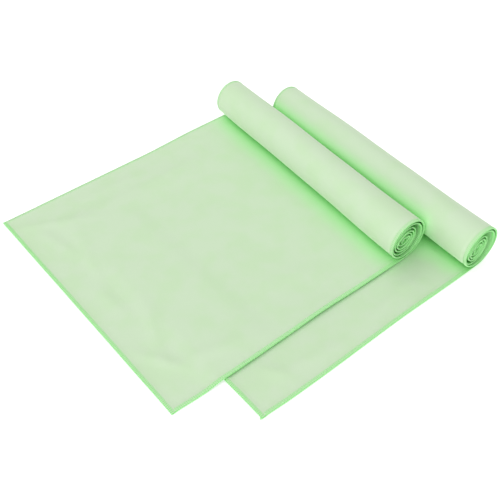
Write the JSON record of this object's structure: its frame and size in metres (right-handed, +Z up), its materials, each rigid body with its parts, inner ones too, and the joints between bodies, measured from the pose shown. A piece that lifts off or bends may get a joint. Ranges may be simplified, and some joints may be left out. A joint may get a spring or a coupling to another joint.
{
  "type": "quick dry towel",
  "caption": "Thin microfibre travel towels with stitched hems, one lying on the other, each part flat and part rolled into a spiral.",
  "frame": {"origin": "middle of the pair's box, on the surface that the rear towel lies on", "axes": "+Z up, +Y along the towels towards their rolls, +X across the towels to the right seen from their near edges"},
  "size_m": [0.466, 0.4794, 0.0644],
  "materials": {
    "microfibre": "matte pale green suede microfibre",
    "hem_stitching": "matte polyester overlock thread, a deeper green"
  },
  "bodies": {
    "rear_towel": {"rear_cloth_flat": "microfibre", "rear_hem_near": "hem_stitching", "rear_hem_left_flat": "hem_stitching", "rear_hem_right_flat": "hem_stitching"},
    "rear_roll_foot": {"rear_cloth_foot": "microfibre", "rear_hem_left_foot": "hem_stitching", "rear_hem_right_foot": "hem_stitching"},
    "rear_roll": {"rear_cloth_roll": "microfibre", "rear_hem_left_roll": "hem_stitching", "rear_hem_right_roll": "hem_stitching", "rear_hem_inner": "hem_stitching"},
    "front_towel": {"front_cloth_middle": "microfibre", "front_hem_left_middle": "hem_stitching", "front_hem_right_middle": "hem_stitching"},
    "front_flap": {"front_cloth_flap": "microfibre", "front_hem_near": "hem_stitching", "front_hem_left_flap": "hem_stitching", "front_hem_right_flap": "hem_stitching"},
    "front_roll_foot": {"front_cloth_foot": "microfibre", "front_hem_left_foot": "hem_stitching", "front_hem_right_foot": "hem_stitching"},
    "front_roll": {"front_cloth_roll": "microfibre", "front_hem_left_roll": "hem_stitching", "front_hem_right_roll": "hem_stitching", "front_hem_inner": "hem_stitching"}
  },
  "joints": [
    {"name": "front_lift", "type": "slide", "parent": "rear_towel", "child": "front_towel", "axis": [0, 0, 1], "range_m": [0, 0.25]},
    {"name": "front_flap_fold", "type": "hinge", "parent": "front_towel", "child": "front_flap", "pos_m": [-0.033, -0.18986, 0.0069], "axis": [-1, 0, 0], "range_deg": [0, 178]},
    {"name": "front_roll_travel", "type": "slide", "parent": "front_towel", "child": "front_roll_foot", "axis": [0, -1, 0], "range_m": [0, 0.185], "deforming": ["front_cloth_middle", "front_hem_left_middle", "front_hem_right_middle"]},
    {"name": "front_roll_spin", "type": "hinge", "parent": "front_roll_foot", "child": "front_roll", "pos_m": [-0.033, 0.13814, 0.03399], "axis": [0.9968, -0.0797, 0.0046], "range_deg": [0, 360], "deforming": ["front_cloth_foot", "front_hem_left_foot", "front_hem_right_foot"]},
    {"name": "rear_roll_travel", "type": "slide", "parent": "rear_towel", "child": "rear_roll_foot", "axis": [0, 1, 0], "range_m": [0, 0.187]},
    {"name": "rear_roll_spin", "type": "hinge", "parent": "rear_roll_foot", "child": "rear_roll", "pos_m": [0.033, 0.19623, 0.03118], "axis": [-0.9975, 0.0712, -0.004], "range_deg": [0, 360], "deforming": ["rear_cloth_foot", "rear_hem_left_foot", "rear_hem_right_foot"]}
  ],
  "couplings": [
    {"joint": "front_roll_spin", "follows": "front_roll_travel", "rad_per_m": 33.963},
    {"joint": "rear_roll_spin", "follows": "rear_roll_travel", "rad_per_m": 33.6}
  ]
}
